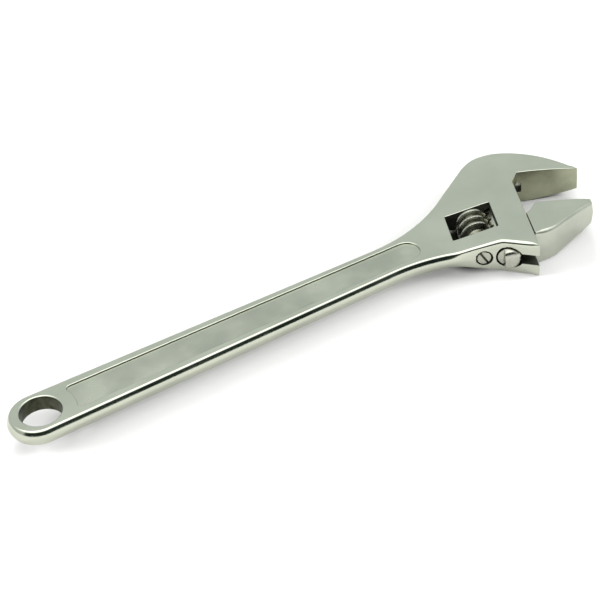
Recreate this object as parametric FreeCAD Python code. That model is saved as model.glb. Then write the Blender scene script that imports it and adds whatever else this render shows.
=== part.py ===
import FreeCAD, Part
import math
import os

from FreeCAD import Vector

# Adjustable wrench of the 300 mm class, lying on its side, in millimetres.
#
# Frame: the origin is the hang hole's centre on the mid-plane, +X runs along the handle to
# the jaws and +Z is square to the flat sides.
#
# The jaws are built in a frame of their own, the jaw frame: its x is the reach along the jaw
# faces to the tips, its +y is the way that the movable jaw closes, and its z is the same Z.
# jaw_angle and jaw_origin_x say where the jaw frame stands on the wrench.

jaw_angle = 22.5
jaw_origin_x = 250.0

# Forging: thickness.
handle_half = 4.0
head_half = 9.2
wedge_start = -37.0
wedge_slope = 13.5
wedge_blend = 30.0
tip_half = 5.5
tip_reach = 41.0
jaw_flat_end = 2.0

# Forging: outline of the handle and neck.
hang_radius = 13.85
hang_back = 1.6
hang_hole_radius = 9.4
edge_taper = 0.82
edge_length = 177.4
neck_radius = 81.2
neck_flare = 27.5
rim_round = 0.8

# Forging: outline of the head, outside the neck.
back_length = 32.7
shoulder_radius = 24.8
shoulder_end = 33.0
jaw_back_radius = 62.8
jaw_back_end = 67.5
flank_length = 12.0

# Fixed jaw, throat and boss, in the jaw frame.
fixed_face_y = 19.2
fixed_face_start = 7.4
throat_x = 3.6
throat_corner_y = 12.4
boss_end_y = -40.8
nose_x = 38.0
nose_round = 0.8
ground_start_x = -12.6

# Recess in each side of the handle.
recess_depth = 0.8
recess_half_start = 8.3
recess_half_end = 7.2
recess_ring = 15.6
recess_end_x = 189.0
recess_corner = 2.5
recess_round = 0.5

# Worm window, in the jaw frame.
window_left = -33.2
window_right = -11.3
window_near = -20.9
window_far = -1.4

# Slide bore and the slot that joins it to the throat.
bar_x = -9.6
bar_radius = 5.72
bore_radius = 5.8
bore_end_y = 28.0
slot_half = 2.8
slot_end_y = 22.0
slot_reach = 9.7

# Worm: a right-hand thread whose axis is square to the jaw faces.
worm_x = -20.8
worm_pitch = 5.2
worm_radius = 8.2
worm_core = 4.8
worm_top_y = -1.7
worm_bottom_y = -20.6
crest_y = -9.7
thread_turns = 2.5
crest_width = 1.3
root_width = 2.9
thread_sink = 0.4
worm_bore = 2.65
spring_pocket_radius = 4.0
spring_pocket_depth = 6.0

# Worm pin: a slotted screw through the boss wall and the worm.
pin_radius = 2.6
pin_hole_radius = 2.62
pin_end_y = 4.0
pin_hole_end_y = 4.5
pin_head_radius = 3.9
pin_head_pocket = 4.25
pin_head_depth = 2.2
pin_head_y = -32.6
pin_slot_width = 1.1
pin_slot_depth = 1.2
pin_slot_turn = 59.0

# Spring round the pin, in the worm's pocket.
spring_wire = 0.35
spring_coil_radius = 3.3
spring_turns = 3.5

# Movable jaw, in the jaw frame, at the stored opening.
jaw_opening = 26.0
back_gap = 0.3
beak_corner_y = -13.7
beak_shelf = 1.1
beak_face_start = 10.1
beak_nose_y = -11.2
beak_belly_x = 15.9
beak_belly_y = -27.8
beak_curve_x = 10.1
beak_curve_y = -30.4
beak_end_y = -31.2
bar_top_y = 0.5
bar_bottom_y = -38.2
bar_chamfer = 0.8
web_half = 2.7
rack_gaps = 7
rack_root_x = -11.9
mesh_gap = 0.15

reach_far = 400.0


def polar(centre, radius, slope):
    """Point of a circle where its outward normal is turned back from +Y by slope degrees."""
    turn = math.radians(slope)
    return centre + Vector(-math.sin(turn), math.cos(turn), 0) * radius


def heading(slope):
    """Unit vector at slope degrees from +X."""
    turn = math.radians(slope)
    return Vector(math.cos(turn), math.sin(turn), 0)


def jaw_point(x, y):
    """Point of the wrench's mid-plane, given in the jaw frame."""
    along = heading(-jaw_angle) * x
    across = heading(90.0 - jaw_angle) * y
    return Vector(jaw_origin_x, 0, 0) + along + across


def from_jaw_frame(shape):
    """Move a shape that was built in the jaw frame to its place on the wrench."""
    placed = shape.copy()
    placed.rotate(Vector(0, 0, 0), Vector(0, 0, 1), -jaw_angle)
    placed.translate(Vector(jaw_origin_x, 0, 0))
    return placed


def line(start, end):
    return Part.LineSegment(start, end).toShape()


def arc(start, middle, end):
    return Part.Arc(start, middle, end).toShape()


def slab(edges, bottom, top):
    """Solid between two heights over a closed outline."""
    wire = Part.Wire(edges)
    face = Part.Face(wire)
    face.translate(Vector(0, 0, bottom))
    return face.extrude(Vector(0, 0, top - bottom))


def y_rod(x, radius, start_y, end_y):
    """Cylinder along the slide, in the jaw frame."""
    return Part.makeCylinder(radius, end_y - start_y, Vector(x, start_y, 0), Vector(0, 1, 0))


def box_between(low, high):
    size = high - low
    return Part.makeBox(size.x, size.y, size.z, low)


def mirrored(edge):
    return edge.mirror(Vector(0, 0, 0), Vector(0, 1, 0))


def body_outline():
    """Closed plan outline of the forging: hang end, handle, neck, head, fixed jaw and boss."""
    hang_centre = Vector(-hang_back, 0, 0)
    hang_far = polar(hang_centre, hang_radius, -edge_taper)
    neck_start = hang_far + heading(-edge_taper) * edge_length
    neck_centre = polar(neck_start, neck_radius, -edge_taper)
    neck_middle = polar(neck_centre, -neck_radius, neck_flare / 2)
    neck_end = polar(neck_centre, -neck_radius, neck_flare)

    shoulder_start = neck_end + heading(neck_flare) * back_length
    shoulder_centre = polar(shoulder_start, -shoulder_radius, neck_flare)
    shoulder_middle = polar(shoulder_centre, shoulder_radius, 0)
    shoulder_last = polar(shoulder_centre, shoulder_radius, -shoulder_end)

    back_centre = polar(shoulder_last, -jaw_back_radius, -shoulder_end)
    back_middle = polar(back_centre, jaw_back_radius, -(shoulder_end + jaw_back_end) / 2)
    back_last = polar(back_centre, jaw_back_radius, -jaw_back_end)
    nose = jaw_point(nose_x, fixed_face_y + nose_round)
    face_tip = jaw_point(nose_x - nose_round, fixed_face_y)

    face_root = jaw_point(fixed_face_start, fixed_face_y)
    throat_top = jaw_point(throat_x, throat_corner_y)
    boss_corner = jaw_point(throat_x, boss_end_y)
    near_neck_end = Vector(neck_end.x, -neck_end.y, 0)
    flank_corner = near_neck_end + heading(-neck_flare) * flank_length

    far_neck = arc(neck_start, neck_middle, neck_end)
    far_edge = line(hang_far, neck_start)
    hang_end = arc(hang_far, hang_centre - Vector(hang_radius, 0, 0), Vector(hang_far.x, -hang_far.y, 0))
    return [
        far_edge,
        far_neck,
        line(neck_end, shoulder_start),
        arc(shoulder_start, shoulder_middle, shoulder_last),
        arc(shoulder_last, back_middle, back_last),
        arc(back_last, nose, face_tip),
        line(face_tip, face_root),
        line(face_root, throat_top),
        line(throat_top, boss_corner),
        line(boss_corner, flank_corner),
        line(flank_corner, near_neck_end),
        mirrored(far_neck),
        mirrored(far_edge),
        hang_end,
    ]


def thickness_envelope():
    """Solid, in the jaw frame, that holds the handle's, head's and jaws' thickness.

    From the handle it opens as a wedge to the head, stays level, and closes in a long arc to
    the jaw tips.
    """
    slope = math.radians(wedge_slope)
    blend_run = wedge_blend * math.sin(slope)
    blend_rise = wedge_blend * (1 - math.cos(slope))
    half_run = wedge_blend * math.sin(slope / 2)
    half_rise = wedge_blend * (1 - math.cos(slope / 2))
    ramp_run = (head_half - handle_half - 2 * blend_rise) / math.tan(slope)
    ramp_start = wedge_start + blend_run
    ramp_end = ramp_start + ramp_run
    level_start = ramp_end + blend_run

    taper_run = tip_reach - jaw_flat_end
    taper_drop = head_half - tip_half
    taper_radius = (taper_run ** 2 + taper_drop ** 2) / (2 * taper_drop)
    taper_middle = taper_radius - math.sqrt(taper_radius ** 2 - (taper_run / 2) ** 2)

    def at(x, z):
        return Vector(x, 0, z)

    upper = [
        line(at(-reach_far, handle_half), at(wedge_start, handle_half)),
        arc(
            at(wedge_start, handle_half),
            at(wedge_start + half_run, handle_half + half_rise),
            at(ramp_start, handle_half + blend_rise),
        ),
        line(at(ramp_start, handle_half + blend_rise), at(ramp_end, head_half - blend_rise)),
        arc(
            at(ramp_end, head_half - blend_rise),
            at(level_start - half_run, head_half - half_rise),
            at(level_start, head_half),
        ),
        line(at(level_start, head_half), at(jaw_flat_end, head_half)),
        arc(
            at(jaw_flat_end, head_half),
            at(jaw_flat_end + taper_run / 2, head_half - taper_middle),
            at(tip_reach, tip_half),
        ),
        line(at(tip_reach, tip_half), at(tip_reach + 10, tip_half)),
    ]
    lower = [edge.mirror(Vector(0, 0, 0), Vector(0, 0, 1)) for edge in upper]
    ends = [
        line(at(tip_reach + 10, tip_half), at(tip_reach + 10, -tip_half)),
        line(at(-reach_far, handle_half), at(-reach_far, -handle_half)),
    ]
    face = Part.Face(Part.Wire(Part.__sortEdges__(upper + lower + ends)))
    face.translate(Vector(0, -reach_far, 0))
    return face.extrude(Vector(0, 2 * reach_far, 0))


def recess(side):
    """Cutter for the long recess in one side of the handle; side is +1 or -1."""
    start_x = math.sqrt(recess_ring ** 2 - recess_half_start ** 2)
    start_far = Vector(start_x, recess_half_start, 0)
    start_near = Vector(start_x, -recess_half_start, 0)
    end_far = Vector(recess_end_x, recess_half_end, 0)
    end_near = Vector(recess_end_x, -recess_half_end, 0)
    outline = [
        line(start_far, end_far),
        arc(end_far, Vector(recess_end_x + recess_half_end, 0, 0), end_near),
        line(end_near, start_near),
        arc(start_near, Vector(recess_ring, 0, 0), start_far),
    ]
    floor = handle_half - recess_depth
    cutter = slab(outline, floor, handle_half + 2)
    upright = [edge for edge in cutter.Edges if edge.BoundBox.ZLength > 1]
    corners = [edge for edge in upright if abs(edge.BoundBox.XMax - start_x) < 0.01]
    cutter = cutter.makeFillet(recess_corner, corners)
    rim = [edge for edge in cutter.Edges if edge.BoundBox.ZMax < floor + 0.01]
    cutter = cutter.makeFillet(recess_round, rim)
    if side < 0:
        cutter = cutter.mirror(Vector(0, 0, 0), Vector(0, 0, 1))
    return cutter


def is_upright(face):
    u_low, u_high, v_low, v_high = face.ParameterRange
    return abs(face.normalAt((u_low + u_high) / 2, (v_low + v_high) / 2).z) < 0.001


def rim_edges(solid):
    """Edges where an upright wall meets a flat side."""
    wall_edges = [edge for face in solid.Faces if is_upright(face) for edge in face.Edges]
    side_edges = [edge for face in solid.Faces if not is_upright(face) for edge in face.Edges]
    return [edge for edge in side_edges if any(edge.isSame(other) for other in wall_edges)]


def is_ground(edge):
    """Whether a rim edge lies on the ground faces: fixed jaw face, throat or boss end."""
    middle = edge.valueAt((edge.FirstParameter + edge.LastParameter) / 2)
    offset = middle - Vector(jaw_origin_x, 0, 0)
    x = offset.dot(heading(-jaw_angle))
    y = offset.dot(heading(90.0 - jaw_angle))
    return x > ground_start_x and y < fixed_face_y + nose_round / 2


def rounded_forging():
    """The forging before any hole is cut: its polished rims are rounded, its ground ones crisp."""
    blank = slab(body_outline(), -head_half, head_half)
    blank = blank.common(from_jaw_frame(thickness_envelope())).removeSplitter()
    polished = [edge for edge in rim_edges(blank) if not is_ground(edge)]
    return blank.makeFillet(rim_round, polished)


def handle_body():
    """Forging with the hang hole, the recesses, the worm window, the slide bore and its slot."""
    hang_hole = Part.makeCylinder(hang_hole_radius, 2 * handle_half, Vector(0, 0, -handle_half))
    window = box_between(
        Vector(window_left, window_near, -2 * head_half),
        Vector(window_right, window_far, 2 * head_half),
    )
    slide_bore = y_rod(bar_x, bore_radius, boss_end_y - 5, bore_end_y)
    slot = box_between(
        Vector(bar_x, boss_end_y - 5, -slot_half),
        Vector(slot_reach, slot_end_y, slot_half),
    )
    pin_hole = y_rod(worm_x, pin_hole_radius, pin_head_y, pin_hole_end_y)
    head_pocket = y_rod(worm_x, pin_head_pocket, boss_end_y, pin_head_y + pin_head_depth)
    cutters = [from_jaw_frame(cutter) for cutter in (window, slide_bore, slot, pin_hole, head_pocket)]
    cutters += [hang_hole, recess(1), recess(-1)]
    return rounded_forging().cut(cutters)


def along_slide(shape, x, y):
    """Turn a shape built along +Z to lie along the slide, and put its start at x, y."""
    turned = shape.copy()
    turned.rotate(Vector(0, 0, 0), Vector(1, 0, 0), -90)
    turned.translate(Vector(x, y, 0))
    return turned


def thread_ridge():
    """Helical ridge of the worm along +Z, starting at Z 0 over +X."""
    height = worm_pitch * thread_turns
    root = worm_core - thread_sink
    flank = (root_width - crest_width) / 2 / (worm_radius - worm_core)
    root_half = root_width / 2 + flank * thread_sink
    crest_half = crest_width / 2
    corners = [
        Vector(root, 0, -root_half),
        Vector(worm_radius, 0, -crest_half),
        Vector(worm_radius, 0, crest_half),
        Vector(root, 0, root_half),
    ]
    profile = Part.makePolygon(corners + corners[:1])
    spine = Part.makeHelix(worm_pitch, height, worm_radius)
    return Part.Wire(spine.Edges).makePipeShell([profile], True, True)


def adjusting_worm():
    """Worm with its plain ends, its bore and the pocket for the spring."""
    core = y_rod(worm_x, worm_core, worm_bottom_y, worm_top_y)
    ridge = thread_ridge()
    ridge.rotate(Vector(0, 0, 0), Vector(0, 0, 1), 180)
    ridge = along_slide(ridge, worm_x, crest_y - worm_pitch * thread_turns / 2)
    bore = y_rod(worm_x, worm_bore, worm_bottom_y - 1, worm_top_y + 1)
    pocket = y_rod(worm_x, spring_pocket_radius, worm_bottom_y - 1, worm_bottom_y + spring_pocket_depth)
    return core.fuse(ridge).removeSplitter().cut([bore, pocket])


def worm_pin_screw():
    """Slotted screw that the worm turns on; its head lies flush in the boss's flank."""
    head = y_rod(worm_x, pin_head_radius, pin_head_y, pin_head_y + pin_head_depth)
    shank = y_rod(worm_x, pin_radius, pin_head_y, pin_end_y)
    slot = box_between(
        Vector(-10, pin_head_y - 1, -pin_slot_width / 2),
        Vector(10, pin_head_y + pin_slot_depth, pin_slot_width / 2),
    )
    slot.rotate(Vector(0, 0, 0), Vector(0, 1, 0), pin_slot_turn)
    slot.translate(Vector(worm_x, 0, 0))
    return head.fuse(shank).cut(slot).removeSplitter()


def worm_spring():
    """Compression spring round the pin, inside the worm's pocket."""
    length = spring_pocket_depth - 4 * spring_wire
    spine = Part.makeHelix(length / spring_turns, length, spring_coil_radius)
    section = Part.Wire(Part.makeCircle(spring_wire, Vector(spring_coil_radius, 0, 0), Vector(0, 1, 0)))
    coil = Part.Wire(spine.Edges).makePipeShell([section], True, True)
    return along_slide(coil, worm_x, worm_bottom_y + 1.5 * spring_wire)


def beak_outline():
    """Closed plan outline of the movable jaw's beak, in the jaw frame."""
    back_x = throat_x + back_gap
    face_y = fixed_face_y - jaw_opening
    shelf = Vector(back_x + beak_shelf, beak_corner_y, 0)
    face_root = Vector(beak_face_start, face_y, 0)
    face_tip = Vector(nose_x - nose_round, face_y, 0)
    nose_back = Vector(nose_x - nose_round, beak_nose_y, 0)
    belly = Vector(beak_belly_x, beak_belly_y, 0)
    heel = Vector(back_x, beak_end_y, 0)
    return [
        line(Vector(back_x, beak_corner_y, 0), shelf),
        line(shelf, face_root),
        line(face_root, face_tip),
        arc(face_tip, Vector(nose_x, (face_y + beak_nose_y) / 2, 0), nose_back),
        line(nose_back, belly),
        arc(belly, Vector(beak_curve_x, beak_curve_y, 0), heel),
        line(heel, Vector(back_x, beak_corner_y, 0)),
    ]


def rack_gap(y):
    """Cutter for one gap of the rack, at y on the side of the bar that faces the worm."""
    flank = (root_width - crest_width) / 2 / (worm_radius - worm_core)
    tip_x = worm_x + worm_radius
    outside_x = worm_x + worm_core - 1
    root_half = crest_width / 2 + mesh_gap - flank * (rack_root_x - tip_x)
    mouth_half = crest_width / 2 + mesh_gap + flank * (tip_x - outside_x)
    corners = [
        Vector(outside_x, -mouth_half, 0),
        Vector(rack_root_x, -root_half, 0),
        Vector(rack_root_x, root_half, 0),
        Vector(outside_x, mouth_half, 0),
    ]
    face = Part.Face(Part.makePolygon(corners + corners[:1]))
    face.translate(Vector(0, 0, -2 * bar_radius))
    gap = face.extrude(Vector(0, 0, 4 * bar_radius))
    mesh_radius = (rack_root_x + worm_core + worm_x) / 2 - worm_x
    lead_tilt = math.degrees(math.atan(worm_pitch / (2 * math.pi * mesh_radius)))
    gap.rotate(Vector(0, 0, 0), Vector(1, 0, 0), lead_tilt)
    gap.translate(Vector(0, y, 0))
    return gap


def movable_jaw():
    """Beak, the web that runs in the slot, and the round bar with its rack."""
    beak = slab(beak_outline(), -head_half, head_half).common(thickness_envelope())
    bar = y_rod(bar_x, bar_radius, bar_bottom_y, bar_top_y)
    ends = [edge for edge in bar.Edges if edge.BoundBox.YLength < 0.01]
    bar = bar.makeChamfer(bar_chamfer, ends)
    web = box_between(
        Vector(bar_x, beak_end_y, -web_half),
        Vector(throat_x + 2 * back_gap, beak_corner_y, web_half),
    )
    first_gap = crest_y + worm_pitch / 4 + worm_pitch
    gaps = [rack_gap(first_gap - worm_pitch * number) for number in range(rack_gaps)]
    last_gap = first_gap - worm_pitch * (rack_gaps - 1)
    gaps.append(box_between(Vector(-30, bar_bottom_y - 1, -10), Vector(rack_root_x, last_gap, 10)))
    return beak.fuse([web, bar]).removeSplitter().cut(gaps)


def main():
    os.makedirs("parts", exist_ok=True)
    nodes = {
        "handle_body": handle_body(),
        "movable_jaw": from_jaw_frame(movable_jaw()),
        "adjusting_worm": from_jaw_frame(adjusting_worm()),
        "worm_pin_screw": from_jaw_frame(worm_pin_screw()),
        "worm_spring": from_jaw_frame(worm_spring()),
    }
    for name, shape in nodes.items():
        shape.exportStep(f"parts/{name}.step")
        print(name, shape.isValid(), len(shape.Solids), round(shape.Volume, 1))


if __name__ == "__main__":
    main()
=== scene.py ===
import math

import bmesh
import bpy
from mathutils import Matrix, Vector
from mathutils.geometry import delaunay_2d_cdt


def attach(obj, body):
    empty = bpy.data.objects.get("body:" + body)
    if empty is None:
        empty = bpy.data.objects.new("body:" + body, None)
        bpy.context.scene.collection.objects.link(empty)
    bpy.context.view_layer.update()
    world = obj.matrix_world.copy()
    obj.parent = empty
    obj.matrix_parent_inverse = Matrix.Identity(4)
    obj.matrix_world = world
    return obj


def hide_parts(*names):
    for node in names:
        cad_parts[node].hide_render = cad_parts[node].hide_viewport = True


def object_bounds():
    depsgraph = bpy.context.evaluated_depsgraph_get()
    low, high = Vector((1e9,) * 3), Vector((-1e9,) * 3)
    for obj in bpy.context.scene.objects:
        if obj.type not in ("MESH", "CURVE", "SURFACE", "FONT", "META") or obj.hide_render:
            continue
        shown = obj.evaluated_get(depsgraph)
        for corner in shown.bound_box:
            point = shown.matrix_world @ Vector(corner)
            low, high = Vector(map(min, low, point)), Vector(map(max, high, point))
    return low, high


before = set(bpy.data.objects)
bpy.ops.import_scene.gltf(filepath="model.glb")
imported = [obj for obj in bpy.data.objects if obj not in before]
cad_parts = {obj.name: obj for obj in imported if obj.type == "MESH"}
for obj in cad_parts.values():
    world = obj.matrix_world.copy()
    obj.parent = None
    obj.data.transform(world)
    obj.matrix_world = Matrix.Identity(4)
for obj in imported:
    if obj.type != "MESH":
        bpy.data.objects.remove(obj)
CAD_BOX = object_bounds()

# Adjustable wrench. Shapes are worked out in millimetres in the CAD frame and scaled to metres
# when their meshes are made. The jaw frame is turned by JAW_ANGLE about Z: its x is the reach
# along the jaw faces to the tips and its y is the way that the movable jaw closes.

MM = 0.001
JAW_ANGLE = 22.5
JAW_ORIGIN_X = 250.0

# Thickness of the forging: half heights, and where along the jaw frame's x they change.
HANDLE_HALF = 4.0
HEAD_HALF = 9.2
WEDGE_START = -37.0
WEDGE_SLOPE = 13.5
WEDGE_BLEND = 30.0
TIP_HALF = 5.5
TIP_REACH = 41.0
JAW_FLAT_END = 2.0

# Plan outline of the handle, neck and head.
HANG_RADIUS = 13.85
HANG_BACK = 1.6
HANG_HOLE_RADIUS = 9.4
EDGE_TAPER = 0.82
EDGE_LENGTH = 177.4
NECK_RADIUS = 81.2
NECK_FLARE = 27.5
BACK_LENGTH = 32.7
SHOULDER_RADIUS = 24.8
SHOULDER_END = 33.0
JAW_BACK_RADIUS = 62.8
JAW_BACK_END = 67.5
FLANK_LENGTH = 12.0

# Fixed jaw, throat and boss, in the jaw frame.
FIXED_FACE_Y = 19.2
FIXED_FACE_START = 7.4
THROAT_X = 3.6
THROAT_CORNER_Y = 12.4
BOSS_END_Y = -40.8
NOSE_X = 38.0
NOSE_ROUND = 0.8
NOSE_TURN = 2.5
NOSE_BULGE = 0.2

# Recess in each side of the handle.
RECESS_DEPTH = 0.8
RECESS_HALF_START = 8.3
RECESS_HALF_END = 7.2
RECESS_RING = 15.6
RECESS_END_X = 189.0
RECESS_CORNER = 2.5

# Worm window, slide bore and slot, in the jaw frame.
WINDOW_LEFT = -33.2
WINDOW_RIGHT = -11.3
WINDOW_NEAR = -20.9
WINDOW_FAR = -1.4
WINDOW_CORNER = 0.6
BAR_X = -9.6
BAR_RADIUS = 5.2
BAR_SHIFT = 0.3
BORE_RADIUS = 5.9
BORE_MOUTH = 0.7
BORE_END_Y = 28.0
SLOT_HALF = 2.8
SLOT_END_Y = 22.0
SLOT_REACH = 9.7

# Worm.
WORM_X = -20.8
WORM_PITCH = 5.2
WORM_RADIUS = 8.2
WORM_CORE = 4.8
WORM_TOP_Y = -1.7
WORM_BOTTOM_Y = -20.6
CREST_Y = -9.7
THREAD_TURNS = 2.5
CREST_WIDTH = 1.3
ROOT_WIDTH = 2.9
WORM_BORE = 2.65
SPRING_POCKET_RADIUS = 4.0
SPRING_POCKET_DEPTH = 6.0

# Worm pin.
PIN_RADIUS = 2.6
PIN_END_Y = 4.0
PIN_HOLE_RADIUS = 2.62
PIN_HOLE_END_Y = 4.5
PIN_HEAD_RADIUS = 3.45
PIN_HEAD_POCKET = 4.1
PIN_HEAD_DEPTH = 2.2
PIN_HEAD_Y = -32.6
PIN_SLOT_WIDTH = 1.1
PIN_SLOT_DEPTH = 1.2
PIN_SLOT_TURN = 59.0

# Movable jaw.
JAW_OPENING = 26.0
BACK_GAP = 0.3
BEAK_CORNER_Y = -13.7
BEAK_SHELF = 1.1
BEAK_FACE_START = 10.1
BEAK_NOSE_Y = -11.2
BEAK_BELLY = (15.9, -27.8)
BEAK_CURVE = (10.1, -30.4)
BEAK_END_Y = -31.2
BAR_TOP_Y = 0.5
BAR_BOTTOM_Y = -38.2
BAR_ROUND = 0.8
BAR_DOME = 1.9
WEB_HALF = 2.7
RACK_GAPS = 7
RACK_ROOT_X = -11.9
MESH_GAP = 0.15

# Edges: how far each rim is rounded and how much each wall bulges.
HANDLE_RIM = 1.3
HEAD_RIM = 1.8
GROUND_RIM = 0.35
HANDLE_CROWN = 7.5
HEAD_CROWN = 120.0
GROUND_CROWN = 600.0
HANDLE_DRAFT = 5.0
HEAD_DRAFT = 0.5
HOLE_RIM = 0.7
WINDOW_RIM = 0.35
CROWN_ROWS = 5
RIM_ROWS = 6
STEP = 1.1
FOLD_SHARE = 0.7
CORNER_REACH = 3.0
MAX_TURN = 7.0

# Meshing: spacing of the inner points, how far points are held from an edge, how far tools
# overshoot.
GRID_STEP = 1.6
GRID_CLEAR = 0.8
GRID_HALF_SPAN = 46.0
EDGE_HOLD = 0.3
HOLE_HOLD = 0.25
OVERSHOOT = 5.0
SEGMENTS_FINE = 96
WELD = 0.004
NEAR = 0.05

# Worm thread: half widths of its flat crest and of its foot, its run-out, and its rings.
THREAD_FLAT = 0.5
THREAD_FOOT = 1.45
THREAD_RUN_OUT = 40.0
WORM_SEGMENTS = 108
WORM_ROWS = 130
WORM_END_ROUND = 0.5
PIN_RIM = 0.45
PIN_CROWN = 0.05

# Studio: the dark side's heading and half widths, the patch of floor below the window that is
# painted near black as a painted shadow, and the low lamps that keep the rest of the floor white.
DARK_SIDE = -112.0
DARK_HALF = 48.0
DARK_FADE = 60.0
DARK_COLOUR = (0.018, 0.030, 0.024)
FLOOR_HALF = 3.0
PAINTED_SHADOW_RADIUS = 21.0
PAINTED_SHADOW_COLOUR = (0.01, 0.011, 0.008)
WASH_LAMPS = 4
WASH_ELEVATION = 22.0
WASH_POWER = 5.6
WASH_SOFTNESS = 25.0

# Camera: where it looks, from how far, which way, and its roll.
VIEW_TARGET = Vector((0.1321, 0.0029, 0.0))
VIEW_DISTANCE = 0.7856
VIEW_HEADING = 27.07
VIEW_PITCH = 38.71
VIEW_ROLL = -5.88
LENS_MM = 102.1
SENSOR_MM = 36.0


# ---------------------------------------------------------------- plan geometry

def heading(degrees):
    """Unit plan vector at degrees from +X."""
    turn = math.radians(degrees)
    return Vector((math.cos(turn), math.sin(turn)))


def polar(centre, radius, slope):
    """Point of a circle where its outward normal is turned back from +Y by slope degrees."""
    return centre + heading(90 + slope) * radius


def jaw_point(x, y):
    """Plan point on the wrench, given in the jaw frame."""
    return Vector((JAW_ORIGIN_X, 0)) + heading(-JAW_ANGLE) * x + heading(90 - JAW_ANGLE) * y


def jaw_place(point):
    """Jaw-frame x and y of a plan point."""
    away = Vector((point[0] - JAW_ORIGIN_X, point[1]))
    return away.dot(heading(-JAW_ANGLE)), away.dot(heading(90 - JAW_ANGLE))


def half_thickness(reach):
    """Half height of the forging at a reach in the jaw frame."""
    slope = math.radians(WEDGE_SLOPE)
    run = WEDGE_BLEND * math.sin(slope)
    rise = WEDGE_BLEND * (1 - math.cos(slope))
    ramp_start = WEDGE_START + run
    ramp_end = ramp_start + (HEAD_HALF - HANDLE_HALF - 2 * rise) / math.tan(slope)
    level_start = ramp_end + run
    if reach <= WEDGE_START:
        return HANDLE_HALF
    if reach < ramp_start:
        return HANDLE_HALF + WEDGE_BLEND - math.sqrt(WEDGE_BLEND ** 2 - (reach - WEDGE_START) ** 2)
    if reach < ramp_end:
        return HANDLE_HALF + rise + (reach - ramp_start) * math.tan(slope)
    if reach < level_start:
        return HEAD_HALF - WEDGE_BLEND + math.sqrt(WEDGE_BLEND ** 2 - (level_start - reach) ** 2)
    if reach < JAW_FLAT_END:
        return HEAD_HALF
    run = TIP_REACH - JAW_FLAT_END
    drop = HEAD_HALF - TIP_HALF
    radius = (run ** 2 + drop ** 2) / (2 * drop)
    return HEAD_HALF - radius + math.sqrt(radius ** 2 - min(reach - JAW_FLAT_END, run) ** 2)


def half_at(point):
    return half_thickness(jaw_place(point)[0])


def straight(start, end):
    """Points from start up to, not including, end."""
    count = max(1, round((end - start).length / STEP))
    return [start.lerp(end, number / count) for number in range(count)]


def bend(start, middle, end):
    """Points on the arc through three points, from start up to, not including, end."""
    first, second = middle - start, end - start
    cross = 2 * (first.x * second.y - first.y * second.x)
    lengths = first.length_squared, second.length_squared
    centre = start + Vector((
        (second.y * lengths[0] - first.y * lengths[1]) / cross,
        (first.x * lengths[1] - second.x * lengths[0]) / cross,
    ))
    radius = (start - centre).length
    begin = math.atan2(start.y - centre.y, start.x - centre.x)
    sweep = math.atan2(end.y - centre.y, end.x - centre.x) - begin
    sweep %= 2 * math.pi
    if cross < 0:
        sweep -= 2 * math.pi
    fewest = math.ceil(abs(math.degrees(sweep)) / MAX_TURN)
    count = max(2, round(abs(sweep) * radius / STEP), fewest)
    angles = [begin + sweep * number / count for number in range(count)]
    return [centre + Vector((math.cos(angle), math.sin(angle))) * radius for angle in angles]


def outward(points):
    """Mitre vector of each point of a clockwise loop: moving by it moves both edges by 1."""
    vectors = []
    for number, point in enumerate(points):
        before = (point - points[number - 1]).normalized()
        after = (points[(number + 1) % len(points)] - point).normalized()
        first, second = Vector((-before.y, before.x)), Vector((-after.y, after.x))
        vectors.append((first + second) / max(0.3, 1 + first.dot(second)))
    return vectors


def turn_room(points):
    """How far each point of a clockwise loop can move inwards before the loop folds over."""
    rooms = [STEP * 100] * len(points)
    for number, point in enumerate(points):
        before = point - points[number - 1]
        after = points[(number + 1) % len(points)] - point
        turn = -math.atan2(before.x * after.y - before.y * after.x, before.dot(after))
        if 0 < turn < math.radians(1.5 * MAX_TURN):
            rooms[number] = min(rooms[number], FOLD_SHARE * before.length / turn)
        elif turn > 0:
            slope = FOLD_SHARE / math.tan(turn / 2)
            rooms[number] = min(rooms[number], slope * min(before.length, after.length))
            for way in (-1, 1):
                place, along = number, 0.0
                while along < CORNER_REACH:
                    following = (place + way) % len(points)
                    along += (points[following] - points[place]).length
                    rooms[following] = min(rooms[following], slope * along)
                    place = following
    return rooms


def inside(point, loop):
    x, y = point
    hit = False
    for number, corner in enumerate(loop):
        other = loop[number - 1]
        if (corner[1] > y) != (other[1] > y):
            if x < (other[0] - corner[0]) * (y - corner[1]) / (other[1] - corner[1]) + corner[0]:
                hit = not hit
    return hit


def blur(values, passes):
    """Running average round a closed loop."""
    for _ in range(passes):
        values = [
            (values[number - 1] + 2 * value + values[(number + 1) % len(values)]) / 4
            for number, value in enumerate(values)
        ]
    return values


# ---------------------------------------------------------------- outlines

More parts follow.
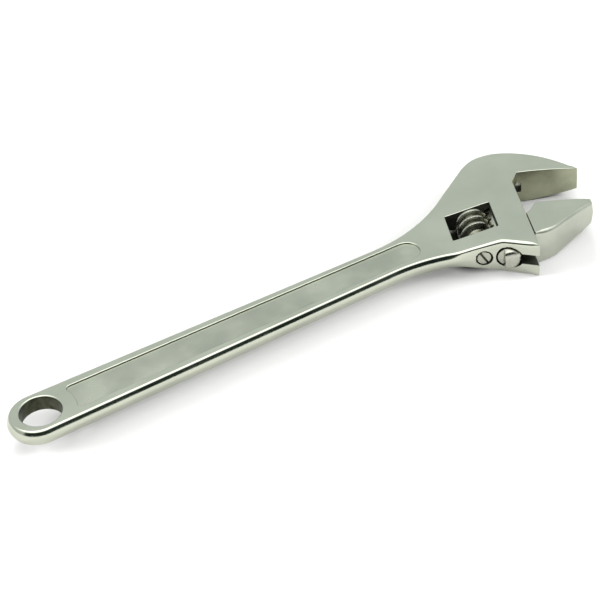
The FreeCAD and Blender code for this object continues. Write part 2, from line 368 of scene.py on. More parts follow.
def body_outline():
    """Clockwise outline of the forging as stretches of (points, is it ground)."""
    hang_centre = Vector((-HANG_BACK, 0))
    hang_far = polar(hang_centre, HANG_RADIUS, -EDGE_TAPER)
    neck_start = hang_far + heading(-EDGE_TAPER) * EDGE_LENGTH
    neck_centre = polar(neck_start, NECK_RADIUS, -EDGE_TAPER)
    neck_middle = polar(neck_centre, -NECK_RADIUS, NECK_FLARE / 2)
    neck_end = polar(neck_centre, -NECK_RADIUS, NECK_FLARE)
    shoulder_start = neck_end + heading(NECK_FLARE) * BACK_LENGTH
    shoulder_centre = polar(shoulder_start, -SHOULDER_RADIUS, NECK_FLARE)
    shoulder_middle = polar(shoulder_centre, SHOULDER_RADIUS, 0)
    shoulder_last = polar(shoulder_centre, SHOULDER_RADIUS, -SHOULDER_END)
    back_centre = polar(shoulder_last, -JAW_BACK_RADIUS, -SHOULDER_END)
    face_tip = jaw_point(NOSE_X, FIXED_FACE_Y)
    back_last = polar(back_centre, JAW_BACK_RADIUS, -JAW_BACK_END + NOSE_TURN)
    back_turn = SHOULDER_END + JAW_BACK_END - NOSE_TURN
    back_middle = polar(back_centre, JAW_BACK_RADIUS, -back_turn / 2)
    chord = face_tip - back_last
    nose = (back_last + face_tip) / 2 + Vector((-chord.y, chord.x)) * NOSE_BULGE
    face_root = jaw_point(FIXED_FACE_START, FIXED_FACE_Y)
    throat_top = jaw_point(THROAT_X, THROAT_CORNER_Y)
    boss_corner = jaw_point(THROAT_X, BOSS_END_Y)

    def across(point):
        return Vector((point.x, -point.y))

    flank_corner = across(neck_end) + heading(-NECK_FLARE) * FLANK_LENGTH
    return [
        (straight(hang_far, neck_start), False),
        (bend(neck_start, neck_middle, neck_end), False),
        (straight(neck_end, shoulder_start), False),
        (bend(shoulder_start, shoulder_middle, shoulder_last), False),
        (bend(shoulder_last, back_middle, back_last), False),
        (bend(back_last, nose, face_tip), False),
        (straight(face_tip, face_root), True),
        (straight(face_root, throat_top), True),
        (straight(throat_top, boss_corner), True),
        (straight(boss_corner, flank_corner), False),
        (straight(flank_corner, across(neck_end)), False),
        (bend(across(neck_end), across(neck_middle), across(neck_start)), False),
        (straight(across(neck_start), across(hang_far)), False),
        (bend(across(hang_far), hang_centre - Vector((HANG_RADIUS, 0)), hang_far), False),
    ]


def beak_outline():
    """Clockwise outline of the movable jaw's beak as stretches of (points, is it ground)."""
    back_x = THROAT_X + BACK_GAP
    face_y = FIXED_FACE_Y - JAW_OPENING
    top = jaw_point(back_x, BEAK_CORNER_Y)
    shelf = jaw_point(back_x + BEAK_SHELF, BEAK_CORNER_Y)
    face_root = jaw_point(BEAK_FACE_START, face_y)
    face_tip = jaw_point(NOSE_X - NOSE_ROUND, face_y)
    nose = jaw_point(NOSE_X, (face_y + BEAK_NOSE_Y) / 2)
    nose_back = jaw_point(NOSE_X - NOSE_ROUND, BEAK_NOSE_Y)
    belly = jaw_point(*BEAK_BELLY)
    heel = jaw_point(back_x, BEAK_END_Y)
    return [
        (straight(top, shelf), True),
        (straight(shelf, face_root), True),
        (straight(face_root, face_tip), True),
        (bend(face_tip, nose, nose_back), False),
        (straight(nose_back, belly), False),
        (bend(belly, jaw_point(*BEAK_CURVE), heel), False),
        (straight(heel, top), True),
    ]


def circle(centre, radius, count):
    """Clockwise circle."""
    return [centre + heading(-360 * number / count) * radius for number in range(count)]


def window_outline():
    """Clockwise outline of the worm window, with small corner radii."""
    corners = [
        (WINDOW_LEFT, WINDOW_FAR, 1, -1),
        (WINDOW_RIGHT, WINDOW_FAR, -1, -1),
        (WINDOW_RIGHT, WINDOW_NEAR, -1, 1),
        (WINDOW_LEFT, WINDOW_NEAR, 1, 1),
    ]
    arcs = []
    for number, (x, y, inward_x, inward_y) in enumerate(corners):
        centre = jaw_point(x + inward_x * WINDOW_CORNER, y + inward_y * WINDOW_CORNER)
        first = 180 - 90 * number - JAW_ANGLE
        arcs.append([centre + heading(first - turn) * WINDOW_CORNER for turn in (0, 45, 90)])
    points = []
    for number, arc in enumerate(arcs):
        following = arcs[(number + 1) % 4]
        points += bend(*arc) + straight(arc[2], following[0])
    return points


def recess_outline():
    """Clockwise outline of the recess: arc beside the hang ring, straight sides, round far end."""
    start_x = math.sqrt(RECESS_RING ** 2 - RECESS_HALF_START ** 2)
    taper = math.atan2(RECESS_HALF_START - RECESS_HALF_END, RECESS_END_X - start_x)
    ring = RECESS_RING + RECESS_CORNER
    side = RECESS_HALF_START - RECESS_CORNER
    corner = Vector((math.sqrt(ring ** 2 - side ** 2), side))
    on_ring = corner * (RECESS_RING / ring)
    on_side = corner + Vector((math.sin(taper), math.cos(taper))) * RECESS_CORNER
    between = corner + Vector((-1, 1)).normalized() * RECESS_CORNER
    end = Vector((RECESS_END_X, RECESS_HALF_END))

    def across(point):
        return Vector((point.x, -point.y))

    return (
        bend(on_ring, between, on_side)
        + straight(on_side, end)
        + bend(end, Vector((RECESS_END_X + RECESS_HALF_END, 0)), across(end))
        + straight(across(end), across(on_side))
        + bend(across(on_side), across(between), across(on_ring))
        + bend(across(on_ring), Vector((RECESS_RING, 0)), on_ring)
    )


# ---------------------------------------------------------------- meshes

def strip(mesh, lower, upper):
    """Quads between two closed rings of vertices."""
    for number in range(len(lower)):
        mesh.faces.new((lower[number - 1], lower[number], upper[number], upper[number - 1]))


def ring(mesh, points, heights):
    return [mesh.verts.new((point[0], point[1], height)) for point, height in zip(points, heights)]


def wall_profile(half, rim, crown, draft):
    """(inset, height) of a drafted, bulging wall from mid-height to the end of its rounded rim."""
    start = math.radians(draft)
    join = math.asin((half - rim) / (crown - rim) + math.sin(start) * crown / (crown - rim))
    centre_inset = crown * math.cos(start) - (crown - rim) * math.cos(join)
    rows = []
    for number in range(CROWN_ROWS):
        angle = start + (join - start) * number / CROWN_ROWS
        inset = crown * (math.cos(start) - math.cos(angle))
        rows.append((inset, crown * (math.sin(angle) - math.sin(start))))
    for number in range(RIM_ROWS + 1):
        angle = join + (math.pi / 2 - join) * number / RIM_ROWS
        rows.append((centre_inset - rim * math.cos(angle), half - rim + rim * math.sin(angle)))
    return rows


def outer_wall(mesh, stretches):
    """Upper half of the outer wall; returns the plan loop where it meets the flat side."""
    points = [point for run, _ in stretches for point in run]
    ground = blur([float(flag) for run, flag in stretches for _ in run], 2)
    mitres = outward(points)
    rims, bulges, drafts = [], [], []
    for number, point in enumerate(points):
        head = (half_at(point) - HANDLE_HALF) / (HEAD_HALF - HANDLE_HALF)
        rim = HANDLE_RIM + (HEAD_RIM - HANDLE_RIM) * head
        bulge = 1 / (HANDLE_CROWN + (HEAD_CROWN - HANDLE_CROWN) * head)
        draft = HANDLE_DRAFT + (HEAD_DRAFT - HANDLE_DRAFT) * head
        flat = ground[number]
        rims.append(rim + (GROUND_RIM - rim) * flat)
        bulges.append(bulge + (1 / GROUND_CROWN - bulge) * flat)
        drafts.append(draft * (1 - flat))
    profiles = [
        wall_profile(half_at(point), rim, 1 / bulge, draft)
        for point, rim, bulge, draft in zip(points, blur(rims, 2), blur(bulges, 2), blur(drafts, 2))
    ]
    room = turn_room(points)
    squeeze = [min(1.0, share / profile[-1][0]) for share, profile in zip(room, profiles)]
    mitres = [mitre * min(pair) for mitre, pair in zip(mitres, zip(squeeze, blur(squeeze, 3)))]
    rings = []
    for row in range(len(profiles[0])):
        spots = [
            point - mitre * profile[row][0]
            for point, mitre, profile in zip(points, mitres, profiles)
        ]
        rings.append(spots)
    top = rings[-1]
    previous = None
    for row, spots in enumerate(rings):
        heights = [
            profile[row][1] * half_at(last) / profile[-1][1]
            for profile, last in zip(profiles, top)
        ]
        made = ring(mesh, spots, heights)
        if previous:
            strip(mesh, previous, made)
        previous = made
    return top


def hole_wall(mesh, points, rim):
    """Upper half of a through hole's wall; returns the plan loop of its rounded rim."""
    mitres = outward(points)
    rows = [(0.0, 0.0), (0.0, 0.6)]
    for number in range(RIM_ROWS + 1):
        angle = math.pi / 2 * number / RIM_ROWS
        rows.append((rim * (1 - math.cos(angle)), None if number == 0 else math.sin(angle)))
    previous = None
    top = [point + mitre * rim for point, mitre in zip(points, mitres)]
    halves = [half_at(spot) for spot in top]
    for inset, lift in rows:
        spots = [point + mitre * inset for point, mitre in zip(points, mitres)]
        if inset == 0.0 and lift is not None:
            heights = [(half - rim) * lift for half in halves]
        else:
            heights = [half - rim + rim * (lift or 0.0) for half in halves]
        made = ring(mesh, spots, heights)
        if previous:
            strip(mesh, made, previous)
        previous = made
    return top


def recess_wall(mesh, points):
    """Edge of the recess, from the flat side down to its floor; returns the floor's loop."""
    mitres = outward(points)
    rows = (
        (0.0, 0.0), (0.13, 0.015), (0.26, 0.06), (0.37, 0.15),
        (0.46, 0.28), (0.53, 0.45), (0.60, RECESS_DEPTH),
    )
    ripple = [
        0.05 * math.sin(0.9 * point.x) * math.sin(0.37 * point.x + point.y)
        + 0.03 * math.sin(2.3 * point.x)
        for point in points
    ]
    previous = None
    for inset, depth in rows:
        wave = 0.0 if inset == 0.0 else min(1.0, inset / 0.3)
        spots = [
            point - mitre * (inset + shift * wave)
            for point, mitre, shift in zip(points, mitres, ripple)
        ]
        made = ring(mesh, spots, [HANDLE_HALF - depth] * len(points))
        if previous:
            strip(mesh, made, previous)
        previous = made
        floor = spots
    return floor


def flat_side(mesh, outer, holes, extra, height):
    """Triangles of a flat side inside the outer loop, outside the holes, over height(point)."""
    loops = [outer] + holes
    coords, edges = [], []
    for loop in loops:
        start = len(coords)
        coords += [Vector(point) for point in loop]
        edges += [(start + number, start + (number + 1) % len(loop)) for number in range(len(loop))]
    coords += extra
    verts, _, faces, _, _, _ = delaunay_2d_cdt(coords, edges, [], 1, 1e-5)
    made = [mesh.verts.new((spot.x, spot.y, height(spot))) for spot in verts]
    for face in faces:
        centre = sum((verts[index] for index in face), Vector((0, 0))) / 3
        if not any(inside(centre, hole) for hole in holes):
            mesh.faces.new([made[index] for index in face])


def jaw_grid(outer, holes, low, high, step=GRID_STEP):
    """Inner points over the head, in rows across the reach, clear of every loop."""
    mitres = outward(outer)
    clear = [point - mitre * GRID_CLEAR for point, mitre in zip(outer, mitres)]
    grown = [[p + m * GRID_CLEAR for p, m in zip(hole, outward(hole))] for hole in holes]
    points = []
    for row in range(round((high[0] - low[0]) / step) + 1):
        for column in range(round((high[1] - low[1]) / (2 * step)) + 1):
            point = jaw_point(low[0] + row * step, low[1] + (column * 2 + row % 2) * step)
            if inside(point, clear) and not any(inside(point, hole) for hole in grown):
                points.append(point)
    return points


def held(loop, distance):
    """Extra points just inside a loop, so that shading stays flat beside a rounded rim."""
    return [point - mitre * distance for point, mitre in zip(loop, outward(loop))]


def mirror_half(mesh):
    """Add the other half, below the mid-plane; piece() welds the two along it afterwards."""
    copied = bmesh.ops.duplicate(mesh, geom=mesh.verts[:] + mesh.edges[:] + mesh.faces[:])
    below = [item for item in copied["geom"] if isinstance(item, bmesh.types.BMVert)]
    for vert in below:
        vert.co.z = -vert.co.z
    flipped = [item for item in copied["geom"] if isinstance(item, bmesh.types.BMFace)]
    bmesh.ops.reverse_faces(mesh, faces=flipped)


def piece(name, mesh, sharp=32.0):
    """Object from a mesh in millimetres."""
    bmesh.ops.remove_doubles(mesh, verts=mesh.verts[:], dist=WELD)
    loose = [vert for vert in mesh.verts if not vert.link_faces]
    bmesh.ops.delete(mesh, geom=loose, context="VERTS")
    bmesh.ops.recalc_face_normals(mesh, faces=mesh.faces[:])
    data = bpy.data.meshes.new(name)
    mesh.to_mesh(data)
    mesh.free()
    data.transform(Matrix.Scale(MM, 4))
    made = bpy.data.objects.new(name, data)
    bpy.context.collection.objects.link(made)
    smooth(data, sharp)
    return made


def smooth(data, sharp):
    data.shade_smooth()
    data.set_sharp_from_angle(angle=math.radians(sharp))


def lathe(profile, x, segments=72):
    """Closed turned solid along the slide at jaw-frame x; profile is (radius, y) from end to end.

    A profile whose two ends both have a radius closes on itself, as a tube."""
    mesh = bmesh.new()
    rings = []
    for radius, y in profile:
        if radius == 0:
            centre = jaw_point(x, y)
            rings.append([mesh.verts.new((centre.x, centre.y, 0))])
            continue
        turned = []
        for number in range(segments):
            angle = 2 * math.pi * number / segments
            spot = jaw_point(x - radius * math.cos(angle), y)
            turned.append(mesh.verts.new((spot.x, spot.y, radius * math.sin(angle))))
        rings.append(turned)
    if len(rings[0]) > 1:
        rings.append(rings[0])
    for lower, upper in zip(rings, rings[1:]):
        if len(lower) > 1 and len(upper) > 1:
            strip(mesh, lower, upper)
            continue
        pole, turned = (lower[0], upper) if len(lower) == 1 else (upper[0], lower)
        for number in range(segments):
            mesh.faces.new((pole, turned[number - 1], turned[number]))
    return mesh


def box(low, high):
    """Box between two corners in the jaw frame."""
    mesh = bmesh.new()
    bmesh.ops.create_cube(mesh, size=1)
    for vert in mesh.verts:
        share = [coordinate + 0.5 for coordinate in vert.co]
        x, y, z = (a + (b - a) * part for a, b, part in zip(low, high, share))
        spot = jaw_point(x, y)
        vert.co = (spot.x, spot.y, z)
    return mesh


def combine(target, meshes, operation, sharp=32.0):
    """Cut meshes from target, or join them to it."""
    for number, mesh in enumerate(meshes):
        tool = piece(f"tool_{number}", mesh)
        modifier = target.modifiers.new("tool", "BOOLEAN")
        modifier.operation = operation
        modifier.solver = "EXACT"
        modifier.object = tool
        evaluated = target.evaluated_get(bpy.context.evaluated_depsgraph_get())
        result = bpy.data.meshes.new_from_object(evaluated)
        target.modifiers.remove(modifier)
        old = target.data
        target.data = result
        bpy.data.meshes.remove(old)
        tool_data = tool.data
        bpy.data.objects.remove(tool)
        bpy.data.meshes.remove(tool_data)
    smooth(target.data, sharp)


def paint(target, materials, choose):
    """Give each face the material that choose(centre in mm, normal) picks."""
    target.data.materials.clear()
    for material in materials:
        target.data.materials.append(material)
    for polygon in target.data.polygons:
        polygon.material_index = choose(polygon.center / MM, polygon.normal)


# ---------------------------------------------------------------- pieces

def make_body():
    mesh = bmesh.new()
    outer = outer_wall(mesh, body_outline())
    hang = hole_wall(mesh, circle(Vector((0, 0)), HANG_HOLE_RADIUS, SEGMENTS_FINE), HOLE_RIM)
    window = hole_wall(mesh, window_outline(), WINDOW_RIM)
    recess = recess_outline()
    floor = recess_wall(mesh, recess)
    holes = [hang, window, recess]
    extra = held(outer, EDGE_HOLD)
    for hole in holes:
        extra += held(hole, -HOLE_HOLD)
    extra += jaw_grid(outer, holes, (WEDGE_START - 3, -GRID_HALF_SPAN), (NOSE_X, GRID_HALF_SPAN))
    flat_side(mesh, outer, holes, extra, half_at)
    flat_side(mesh, floor, [], held(floor, EDGE_HOLD), lambda spot: HANDLE_HALF - RECESS_DEPTH)
    mirror_half(mesh)
    body = piece("wrench_body", mesh)
    outside_y = BOSS_END_Y - OVERSHOOT
    seat_y = PIN_HEAD_Y + PIN_HEAD_DEPTH
    bore = [
        (0, outside_y),
        (BORE_RADIUS + BORE_MOUTH, outside_y),
        (BORE_RADIUS + BORE_MOUTH, BOSS_END_Y + 3 * BORE_MOUTH),
        (BORE_RADIUS, BOSS_END_Y + 8 * BORE_MOUTH),
        (BORE_RADIUS, BORE_END_Y),
        (0, BORE_END_Y),
    ]
    pin_hole = [
        (0, BOSS_END_Y),
        (PIN_HEAD_POCKET, BOSS_END_Y),
        (PIN_HEAD_POCKET, seat_y),
        (PIN_HOLE_RADIUS, seat_y),
        (PIN_HOLE_RADIUS, PIN_HOLE_END_Y),
        (0, PIN_HOLE_END_Y),
    ]
    combine(body, [
        lathe(bore, BAR_X, SEGMENTS_FINE),
        box((BAR_X, outside_y, -SLOT_HALF), (SLOT_REACH, SLOT_END_Y, SLOT_HALF)),
        lathe(pin_hole, WORM_X),
    ], "DIFFERENCE")
    return body


def rack_cutter():
    """What is cut off the bar by the worm: the rack's gaps and all below its last tooth."""
    flank = (ROOT_WIDTH - CREST_WIDTH) / 2 / (WORM_RADIUS - WORM_CORE)
    outside_x = WORM_X + WORM_CORE - 1
    tip_x = WORM_X + WORM_RADIUS
    root_half = CREST_WIDTH / 2 + MESH_GAP - flank * (RACK_ROOT_X - tip_x)
    mouth_half = CREST_WIDTH / 2 + MESH_GAP + flank * (tip_x - outside_x)
    mesh_radius = (RACK_ROOT_X + WORM_CORE + WORM_X) / 2 - WORM_X
    tilt = WORM_PITCH / (2 * math.pi * mesh_radius)
    first = CREST_Y + WORM_PITCH / 4 + WORM_PITCH
    plan = [(outside_x - 1, first + mouth_half)]
    for number in range(RACK_GAPS):
        y = first - WORM_PITCH * number
        plan += [
            (outside_x, y + mouth_half),
            (RACK_ROOT_X, y + root_half),
            (RACK_ROOT_X, y - root_half),
            (outside_x, y - mouth_half),
        ]
    plan[-2:] = [(RACK_ROOT_X, BAR_BOTTOM_Y - 4), (outside_x - 1, BAR_BOTTOM_Y - 4)]
    mesh = bmesh.new()
    ends = []
    for z in (BAR_RADIUS + 1, -BAR_RADIUS - 1):
        spots = [jaw_point(x, y - tilt * z) for x, y in plan]
        ends.append([mesh.verts.new((spot.x, spot.y, z)) for spot in spots])
    upper, lower = ends
    mesh.faces.new(upper)
    mesh.faces.new(lower[::-1])
    strip(mesh, upper, lower)
    bmesh.ops.recalc_face_normals(mesh, faces=mesh.faces[:])
    bmesh.ops.triangulate(mesh, faces=mesh.faces[:])
    return mesh


def make_jaw():
    mesh = bmesh.new()
    outer = outer_wall(mesh, beak_outline())
    extra = held(outer, EDGE_HOLD) + jaw_grid(outer, [], (THROAT_X, BEAK_END_Y), (NOSE_X, 0))
    flat_side(mesh, outer, [], extra, half_at)
    mirror_half(mesh)
    jaw = piece("sliding_jaw", mesh)
    dome = [math.radians(turn) for turn in (0, 12, 24, 36, 48, 60, 74, 90)]
    bottom = [
        (BAR_RADIUS * math.sin(turn), BAR_BOTTOM_Y + BAR_DOME * (1 - math.cos(turn)))
        for turn in dome
    ]
    flat_radius, round_start = BAR_RADIUS - BAR_ROUND, BAR_TOP_Y - BAR_ROUND
    top = [
        (flat_radius + BAR_ROUND * math.cos(turn), round_start + BAR_ROUND * math.sin(turn))
        for turn in map(math.radians, (0, 22, 45, 67, 90))
    ] + [(0, BAR_TOP_Y)]
    web_end_x = THROAT_X + 2 * BACK_GAP
    combine(jaw, [
        box((BAR_X, BEAK_END_Y + 0.01, -WEB_HALF), (web_end_x, BEAK_CORNER_Y - 0.01, WEB_HALF)),
        lathe(bottom + top, BAR_X + BAR_SHIFT),
    ], "UNION")
    combine(jaw, [rack_cutter()], "DIFFERENCE")
    return jaw


def thread_height(angle, y):
    """Share of the thread's full height at an angle round the worm and a place along it."""
    phase = math.pi * THREAD_TURNS + 2 * math.pi * (y - CREST_Y) / WORM_PITCH
    turn = angle + 2 * math.pi * round((phase - angle) / (2 * math.pi))
    off = abs(phase - turn) * WORM_PITCH / (2 * math.pi)
    share = min(1.0, max(0.0, (THREAD_FOOT - off) / (THREAD_FOOT - THREAD_FLAT)))
    share = share * share * (3 - 2 * share)
    run_out = math.radians(THREAD_RUN_OUT)
    ends = min(turn, 2 * math.pi * THREAD_TURNS - turn) + run_out / 2
    fade = min(1.0, max(0.0, ends / run_out))
    return share * fade * fade * (3 - 2 * fade)


def make_worm():
    mesh = bmesh.new()
    profile = []
    for number in range(WORM_ROWS + 1):
        y = WORM_TOP_Y + (WORM_BOTTOM_Y - WORM_TOP_Y) * number / WORM_ROWS
        edge = min(WORM_TOP_Y - y, y - WORM_BOTTOM_Y)
        drop = 0.0
        if edge < WORM_END_ROUND:
            drop = WORM_END_ROUND - math.sqrt(WORM_END_ROUND ** 2 - (WORM_END_ROUND - edge) ** 2)
        profile.append((WORM_CORE - drop, y, True))
    floor_y = WORM_BOTTOM_Y + SPRING_POCKET_DEPTH
    profile += [
        (SPRING_POCKET_RADIUS, WORM_BOTTOM_Y, False),
        (SPRING_POCKET_RADIUS, floor_y, False),
        (WORM_BORE, floor_y, False),
        (WORM_BORE, WORM_TOP_Y, False),
    ]
    rings = []
    for radius, y, threaded in profile:
        turned = []
        for number in range(WORM_SEGMENTS):
            angle = 2 * math.pi * number / WORM_SEGMENTS
            lift = (WORM_RADIUS - WORM_CORE) * thread_height(angle, y) if threaded else 0.0
            spot = jaw_point(WORM_X - (radius + lift) * math.cos(angle), y)
            turned.append(mesh.verts.new((spot.x, spot.y, (radius + lift) * math.sin(angle))))
        rings.append(turned)
    for lower, upper in zip(rings, rings[1:] + rings[:1]):
        strip(mesh, lower, upper)
    return piece("worm_knurl", mesh, 50.0)


def make_pin():
    neck = PIN_HEAD_RADIUS - PIN_RIM
    profile = [(0, PIN_HEAD_Y), (neck, PIN_HEAD_Y + PIN_CROWN)]
    for angle in map(math.radians, (30, 60, 90)):
        rise = PIN_HEAD_Y + PIN_CROWN + PIN_RIM - PIN_RIM * math.cos(angle)
        profile.append((neck + PIN_RIM * math.sin(angle), rise))
    profile += [
        (PIN_HEAD_RADIUS, PIN_HEAD_Y + PIN_HEAD_DEPTH),
        (PIN_RADIUS, PIN_HEAD_Y + PIN_HEAD_DEPTH),
        (PIN_RADIUS, PIN_END_Y - PIN_RIM),
        (PIN_RADIUS - PIN_RIM, PIN_END_Y),
        (0, PIN_END_Y),
    ]
    pin = piece("pin_screw", lathe(profile, WORM_X))
    slot = box(
        (-10, PIN_HEAD_Y - 1, -PIN_SLOT_WIDTH / 2),
        (10, PIN_HEAD_Y + PIN_SLOT_DEPTH, PIN_SLOT_WIDTH / 2),
    )
    turn = math.radians(PIN_SLOT_TURN)
    for vert in slot.verts:
        x, y = jaw_place(vert.co)
        z = vert.co.z
        spot = jaw_point(WORM_X + x * math.cos(turn) + z * math.sin(turn), y)
        vert.co = (spot.x, spot.y, z * math.cos(turn) - x * math.sin(turn))
    combine(pin, [slot], "DIFFERENCE")
    return pin


# ---------------------------------------------------------------- camera, floor and light

def add_camera():
    pitch = math.radians(VIEW_PITCH)
    roll = math.radians(VIEW_ROLL)
    level = heading(90 - VIEW_HEADING).to_3d()
    right = heading(-VIEW_HEADING).to_3d()
    rise = Vector((0, 0, 1))
    forward = level * math.cos(pitch) - rise * math.sin(pitch)
    up = level * math.sin(pitch) + rise * math.cos(pitch)
    rolled_right = right * math.cos(roll) + up * math.sin(roll)
    rolled_up = up * math.cos(roll) - right * math.sin(roll)
    data = bpy.data.cameras.new("camera")
    data.lens = LENS_MM
    data.sensor_width = SENSOR_MM
    data.clip_end = 20
    camera = bpy.data.objects.new("camera", data)
    place = Matrix((rolled_right, rolled_up, -forward)).transposed().to_4x4()
    place.translation = VIEW_TARGET - forward * VIEW_DISTANCE
    camera.matrix_world = place
    bpy.context.collection.objects.link(camera)
    bpy.context.scene.camera = camera


def node(tree, kind, **settings):
    made = tree.nodes.new(kind)
    for name, value in settings.items():
        setattr(made, name, value)
    return made


def ramp(tree, source, stops):
    """Colour ramp over source; stops are (place, colour)."""
    made = node(tree, "ShaderNodeValToRGB")
    elements = made.color_ramp.elements
    while len(elements) < len(stops):
        elements.new(0.5)
    for element, (place, colour) in zip(elements, stops):
        element.position = place
        element.color = (*colour, 1)
    tree.links.new(source, made.inputs[0])
    return made.outputs["Color"]


def ease(tree, source, start, end, first=0.0, last=1.0):
    """Smooth step of source from start to end."""
    made = node(tree, "ShaderNodeMapRange", interpolation_type="SMOOTHSTEP")
    made.inputs["From Min"].default_value = start
    made.inputs["From Max"].default_value = end
    made.inputs["To Min"].default_value = first
    made.inputs["To Max"].default_value = last
    tree.links.new(source, made.inputs["Value"])
    return made.outputs[0]


def product(tree, first, second):
    made = node(tree, "ShaderNodeMath", operation="MULTIPLY")
    for socket, value in zip(made.inputs, (first, second)):
        if isinstance(value, float):
            socket.default_value = value
        else:
            tree.links.new(value, socket)
    return made.outputs[0]


def blend(tree, share, first, second):
    made = node(tree, "ShaderNodeMix", data_type="RGBA")
    tree.links.new(share, made.inputs["Factor"])
    for name, value in (("A", first), ("B", second)):
        if isinstance(value, tuple):
            made.inputs[name].default_value = (*value, 1)
        else:
            tree.links.new(value, made.inputs[name])
    return made.outputs["Result"]


def add_world():
    """White studio: bright overhead, paler to the sides, and an open dark side low in front."""
    world = bpy.data.worlds.new("studio")
    bpy.context.scene.world = world
    world.use_nodes = True
    tree = world.node_tree
    tree.nodes.clear()
    place = node(tree, "ShaderNodeTexCoord").outputs["Generated"]
    split = node(tree, "ShaderNodeSeparateXYZ")
    tree.links.new(place, split.inputs[0])
    height = split.outputs["Z"]
    sky = ramp(tree, height, (
        (0.00, (0.66, 0.68, 0.66)),
        (0.35, (0.80, 0.85, 0.83)),
        (0.64, (0.86, 0.92, 0.92)),
        (0.80, (1.0, 1.0, 1.0)),
        (1.00, (1.0, 1.0, 1.0)),
    ))
    front = node(tree, "ShaderNodeVectorMath", operation="DOT_PRODUCT")
    towards = heading(DARK_SIDE)
    flat = node(tree, "ShaderNodeCombineXYZ")
    tree.links.new(split.outputs["X"], flat.inputs["X"])
    tree.links.new(split.outputs["Y"], flat.inputs["Y"])
    level = node(tree, "ShaderNodeVectorMath", operation="NORMALIZE")
    tree.links.new(flat.outputs[0], level.inputs[0])
    front.inputs[1].default_value = (towards.x, towards.y, 0)
    tree.links.new(level.outputs[0], front.inputs[0])
    fade, full = (math.cos(math.radians(half)) for half in (DARK_FADE, DARK_HALF))
    facing = ease(tree, front.outputs["Value"], fade, full)
    low = ease(tree, height, 0.66, 0.54)
    colour = blend(tree, product(tree, facing, low), sky, DARK_COLOUR)
    light = node(tree, "ShaderNodeBackground")
    tree.links.new(colour, light.inputs["Color"])
    tree.links.new(ease(tree, height, 0.70, 0.93, 1.0, 2.8), light.inputs["Strength"])
    out = node(tree, "ShaderNodeOutputWorld")
    tree.links.new(light.outputs[0], out.inputs[0])


def add_floor():
    mesh = bpy.data.meshes.new("floor")
    height = CAD_BOX[0][2]
    corners = [
        (x * FLOOR_HALF, y * FLOOR_HALF, height)
        for x, y in ((-1, -1), (1, -1), (1, 1), (-1, 1))
    ]
    mesh.from_pydata(corners, [], [(0, 1, 2, 3)])
    floor = bpy.data.objects.new("floor", mesh)
    bpy.context.collection.objects.link(floor)
    material = bpy.data.materials.new("floor_paper_painted_shadow")
    material.use_nodes = True
    tree = material.node_tree
    shader = tree.nodes["Principled BSDF"]
    grain = node(tree, "ShaderNodeTexNoise")
    grain.inputs["Scale"].default_value = 180
    tones = ((0.0, (0.34, 0.34, 0.335)), (1.0, (0.36, 0.36, 0.355)))
    pale = ramp(tree, grain.outputs["Fac"], tones)
    # Painted shadow: the floor's colour is darkened to near black within a radius round the point
    # below the window.
    middle = jaw_point((WINDOW_LEFT + WINDOW_RIGHT) / 2, (WINDOW_NEAR + WINDOW_FAR) / 2) / 1000
    apart = node(tree, "ShaderNodeVectorMath", operation="DISTANCE")
    tree.links.new(node(tree, "ShaderNodeNewGeometry").outputs["Position"], apart.inputs[0])
    apart.inputs[1].default_value = (middle.x, middle.y, height)
    painted_shadow = ease(tree, apart.outputs["Value"], PAINTED_SHADOW_RADIUS / 1000, PAINTED_SHADOW_RADIUS / 1500)
    tree.links.new(blend(tree, painted_shadow, pale, PAINTED_SHADOW_COLOUR), shader.inputs["Base Color"])
    shader.inputs["Roughness"].default_value = 0.9
    shader.inputs["Specular IOR Level"].default_value = 0.0
    mesh.materials.append(material)
    return floor


def add_floor_wash(floor):
    """Low, soft lamps round the set that light only the floor and keep it white."""
    paper = bpy.data.collections.new("washed_floor")
    paper.objects.link(floor)
    for number in range(WASH_LAMPS):
        data = bpy.data.lights.new(f"floor_wash_{number}", "SUN")
        data.energy = WASH_POWER
        data.angle = math.radians(WASH_SOFTNESS)
        lamp = bpy.data.objects.new(f"floor_wash_{number}", data)
        turn = math.radians(360 * number / WASH_LAMPS - VIEW_HEADING)
        lamp.rotation_euler = (math.radians(90 - WASH_ELEVATION), 0, turn)
        lamp.light_linking.receiver_collection = paper
        bpy.context.collection.objects.link(lamp)


# ---------------------------------------------------------------- materials

def metal(name, colour, roughness, wear_scale=40.0, tint=0.05,
          grain_scale=900.0, grain=0.03, wave=0.0):
    """Plated or ground steel: its colour, gloss and relief all vary over the surface."""
    material = bpy.data.materials.new(name)
    material.use_nodes = True
    tree = material.node_tree
    shader = tree.nodes["Principled BSDF"]
    shader.inputs["Metallic"].default_value = 1.0
    place = node(tree, "ShaderNodeTexCoord").outputs["Object"]

    def noise(scale, detail):
        made = node(tree, "ShaderNodeTexNoise")
        made.inputs["Scale"].default_value = scale
        made.inputs["Detail"].default_value = detail
        tree.links.new(place, made.inputs["Vector"])
        return made.outputs["Fac"]

    clouds = noise(wear_scale, 6)
    dark = [channel * (1 - tint) for channel in colour]
    light = [min(1.0, channel * (1 + tint)) for channel in colour]
    tree.links.new(ramp(tree, clouds, ((0.35, dark), (0.65, light))), shader.inputs["Base Color"])
    gloss = ease(tree, clouds, 0.3, 0.7, roughness * 0.8, roughness * 1.25)
    tree.links.new(gloss, shader.inputs["Roughness"])
    fine = node(tree, "ShaderNodeBump")
    fine.inputs["Strength"].default_value = grain
    fine.inputs["Distance"].default_value = 0.0002
    tree.links.new(noise(grain_scale, 4), fine.inputs["Height"])
    broad = node(tree, "ShaderNodeBump")
    broad.inputs["Strength"].default_value = wave
    broad.inputs["Distance"].default_value = 0.002
    tree.links.new(noise(70.0, 2), broad.inputs["Height"])
    tree.links.new(fine.outputs[0], broad.inputs["Normal"])
    tree.links.new(broad.outputs[0], shader.inputs["Normal"])
    return material


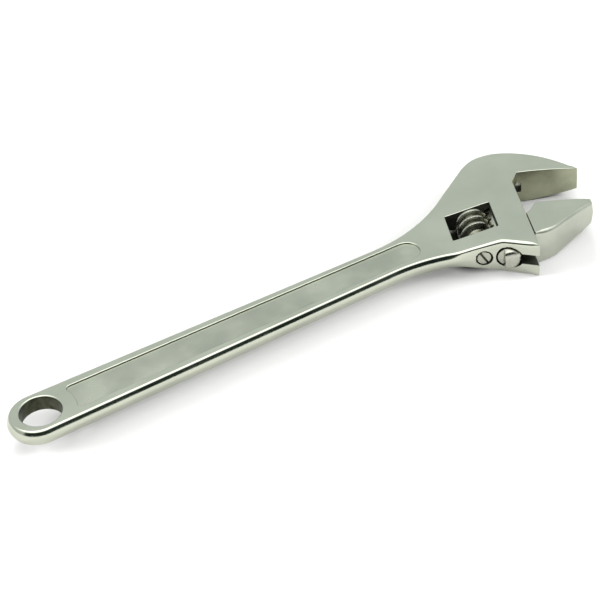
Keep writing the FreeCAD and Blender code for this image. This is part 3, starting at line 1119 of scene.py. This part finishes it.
PLATE = metal("bright_plate", (0.49, 0.51, 0.425), 0.13, wave=0.012)
RECESS = metal("recess_plate", (0.425, 0.445, 0.37), 0.22, 60.0, 0.08, 500.0, 0.10, 0.03)
GROUND = metal("ground_face", (0.38, 0.39, 0.28), 0.40, 90.0, 0.2, 1400.0, 0.14)
# Painted shade: near-black colour for the inside of the bore, slot, window and the pin's slot.
INNER_PAINTED_SHADE = metal("bore_painted_shade", (0.10, 0.105, 0.085), 0.5, 120.0, 0.2, 1200.0, 0.2)
BRUSHED = metal("brushed_wall", (0.47, 0.49, 0.42), 0.36, 70.0, 0.08, 800.0, 0.08)
KNURL = metal("worm_plate", (0.43, 0.435, 0.37), 0.24, 150.0, 0.14, 1300.0, 0.08)
# Painted shade: near-black colour for the wall of the hang hole.
HANG_HOLE_PAINTED_SHADE = metal("hang_hole_painted_shade", (0.085, 0.09, 0.06), 0.42, 260.0, 0.5, 700.0, 0.35, 0.05)
SPRING = metal("spring_wire", (0.42, 0.41, 0.38), 0.3, 300.0, 0.1)


def body_face(centre, normal):
    """0 plated, 1 ground, 2 inside a bore, slot or window (painted shade), 3 recess floor, 4 hang
    hole (painted shade).
    """
    reach, across = jaw_place(centre)
    height, steep = abs(centre.z), abs(normal.z) < 0.5
    if math.hypot(centre.x, centre.y) < HANG_HOLE_RADIUS + 0.1 * HOLE_RIM:
        return 4
    near_bore = math.hypot(reach - BAR_X, height) < BORE_RADIUS + NEAR
    in_pocket = math.hypot(reach - WORM_X, height) < PIN_HEAD_POCKET + NEAR
    if near_bore and across < BORE_END_Y + 1 or in_pocket and across < WINDOW_NEAR:
        return 2
    if reach > BAR_X and height < SLOT_HALF + 0.01 and abs(normal.z) > 0.9:
        return 2
    if (WINDOW_LEFT - 0.1 < reach < WINDOW_RIGHT + 0.1
            and WINDOW_NEAR - 0.1 < across < WINDOW_FAR + 0.1):
        return 2
    if reach > THROAT_X - 0.2 and across < FIXED_FACE_Y + 0.2 and steep:
        return 1
    if HANDLE_HALF - RECESS_DEPTH - NEAR < height < HANDLE_HALF - NEAR and abs(normal.z) > 0.8:
        in_length = RECESS_RING - 1 < centre.x < RECESS_END_X + RECESS_HALF_END
        if in_length and abs(centre.y) < RECESS_HALF_START:
            return 3
    return 0


def pin_face(centre, normal):
    """0 plated, 1 the slot in the head, with painted shade."""
    reach, across = jaw_place(centre)
    in_slot = PIN_HEAD_Y + 0.2 < across < PIN_HEAD_Y + PIN_SLOT_DEPTH + 0.1
    in_head = math.hypot(reach - WORM_X, centre.z) < PIN_HEAD_RADIUS - NEAR
    return 1 if in_slot and in_head else 0


def jaw_face(centre, normal):
    """0 plated, 1 ground, 2 the bar and its rack, 3 brushed side wall."""
    reach, across = jaw_place(centre)
    if reach < THROAT_X + 0.2:
        return 2
    on_face = across > FIXED_FACE_Y - JAW_OPENING - 0.3
    on_back = reach < THROAT_X + BACK_GAP + 0.1
    if abs(normal.z) < 0.5 and (on_face or on_back):
        return 1
    return 3 if abs(normal.z) < 0.93 else 0


# ---------------------------------------------------------------- build

body = make_body()
paint(body, (PLATE, GROUND, INNER_PAINTED_SHADE, RECESS, HANG_HOLE_PAINTED_SHADE), body_face)
jaw = make_jaw()
paint(jaw, (PLATE, GROUND, KNURL, BRUSHED), jaw_face)
worm = make_worm()
paint(worm, (KNURL,), lambda centre, normal: 0)
pin = make_pin()
paint(pin, (KNURL, INNER_PAINTED_SHADE), pin_face)
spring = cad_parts["worm_spring"]
for slot in spring.material_slots:
    slot.material = SPRING

for made, node_name, body_name, slot_name in (
    (body, "handle_body", "wrench", "plated_steel"),
    (jaw, "movable_jaw", "jaw", "plated_steel"),
    (worm, "adjusting_worm", "worm", "machined_steel"),
    (pin, "worm_pin_screw", "wrench", "machined_steel"),
):
    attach(made, body_name)
    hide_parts(node_name)

add_camera()
add_world()
add_floor_wash(add_floor())
bpy.context.scene.view_settings.view_transform = "Standard"
